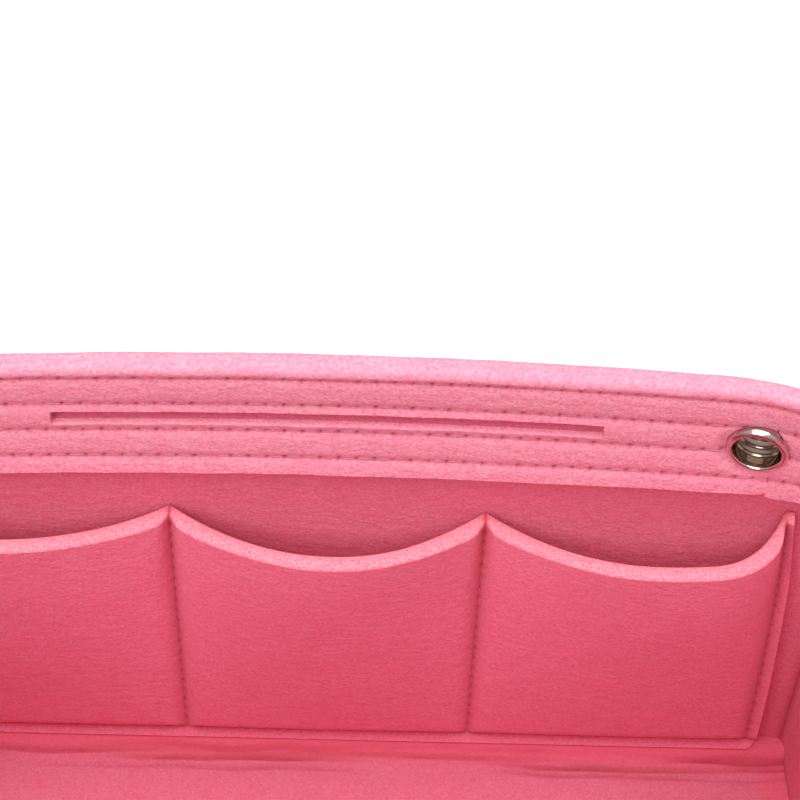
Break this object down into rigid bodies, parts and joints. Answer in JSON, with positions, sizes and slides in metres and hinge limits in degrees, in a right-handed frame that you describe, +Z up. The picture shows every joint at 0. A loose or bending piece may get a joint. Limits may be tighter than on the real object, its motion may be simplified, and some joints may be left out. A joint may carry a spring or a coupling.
{
  "type": "purse organizer insert",
  "caption": "Soft open-topped felt organizer insert for a handbag, with a stitched rim band, gaping inner pockets, a slot and metal eyelets in the band, and a loose pad on its floor",
  "frame": {"origin": "on the standing surface, under the middle of the base", "axes": "+X along the length to the right as seen from the front, +Y towards the back wall with the slot and the eyelets, +Z up"},
  "size_m": [0.2268, 0.119, 0.119],
  "materials": {
    "felt": "matte pink felt",
    "band_felt": "matte pink felt",
    "pocket_felt": "matte pink felt",
    "pad_felt": "matte pink felt",
    "nickel": "polished nickel",
    "thread": "matte rose thread"
  },
  "bodies": {
    "insert": {"back_wall": "felt", "right_end_wall": "felt", "front_wall": "felt", "left_end_wall": "felt", "base_panel": "felt", "back_band": "band_felt", "right_end_band": "band_felt", "front_band": "band_felt", "left_end_band": "band_felt", "back_pocket_panel": "pocket_felt", "front_pocket_panel": "pocket_felt", "right_eyelet": "nickel", "left_eyelet": "nickel", "right_eyelet_washer": "nickel", "left_eyelet_washer": "nickel", "hem_thread_1_inside": "thread", "hem_thread_1_outside": "thread", "hem_thread_4_inside": "thread", "hem_thread_4_outside": "thread", "hem_thread_2_inside_back": "thread", "hem_thread_2_inside_round": "thread", "hem_thread_2_outside_back": "thread", "hem_thread_2_outside_round": "thread", "hem_thread_3_inside_back": "thread", "hem_thread_3_inside_round": "thread", "hem_thread_3_outside_back": "thread", "hem_thread_3_outside_round": "thread", "back_pocket_thread_inside": "thread", "back_pocket_thread_outside": "thread", "back_right_corner_thread": "thread", "back_left_corner_thread": "thread", "front_pocket_thread_inside": "thread", "front_pocket_thread_outside": "thread", "front_right_corner_thread": "thread", "front_left_corner_thread": "thread", "base_thread": "thread"},
    "base_pad": {"base_pad": "pad_felt"}
  },
  "joints": [
    {"name": "base_pad_lift", "type": "hinge", "parent": "insert", "child": "base_pad", "pos_m": [0, -0.051, 0.0063], "axis": [1, 0, 0], "range_deg": [0, 50]}
  ]
}
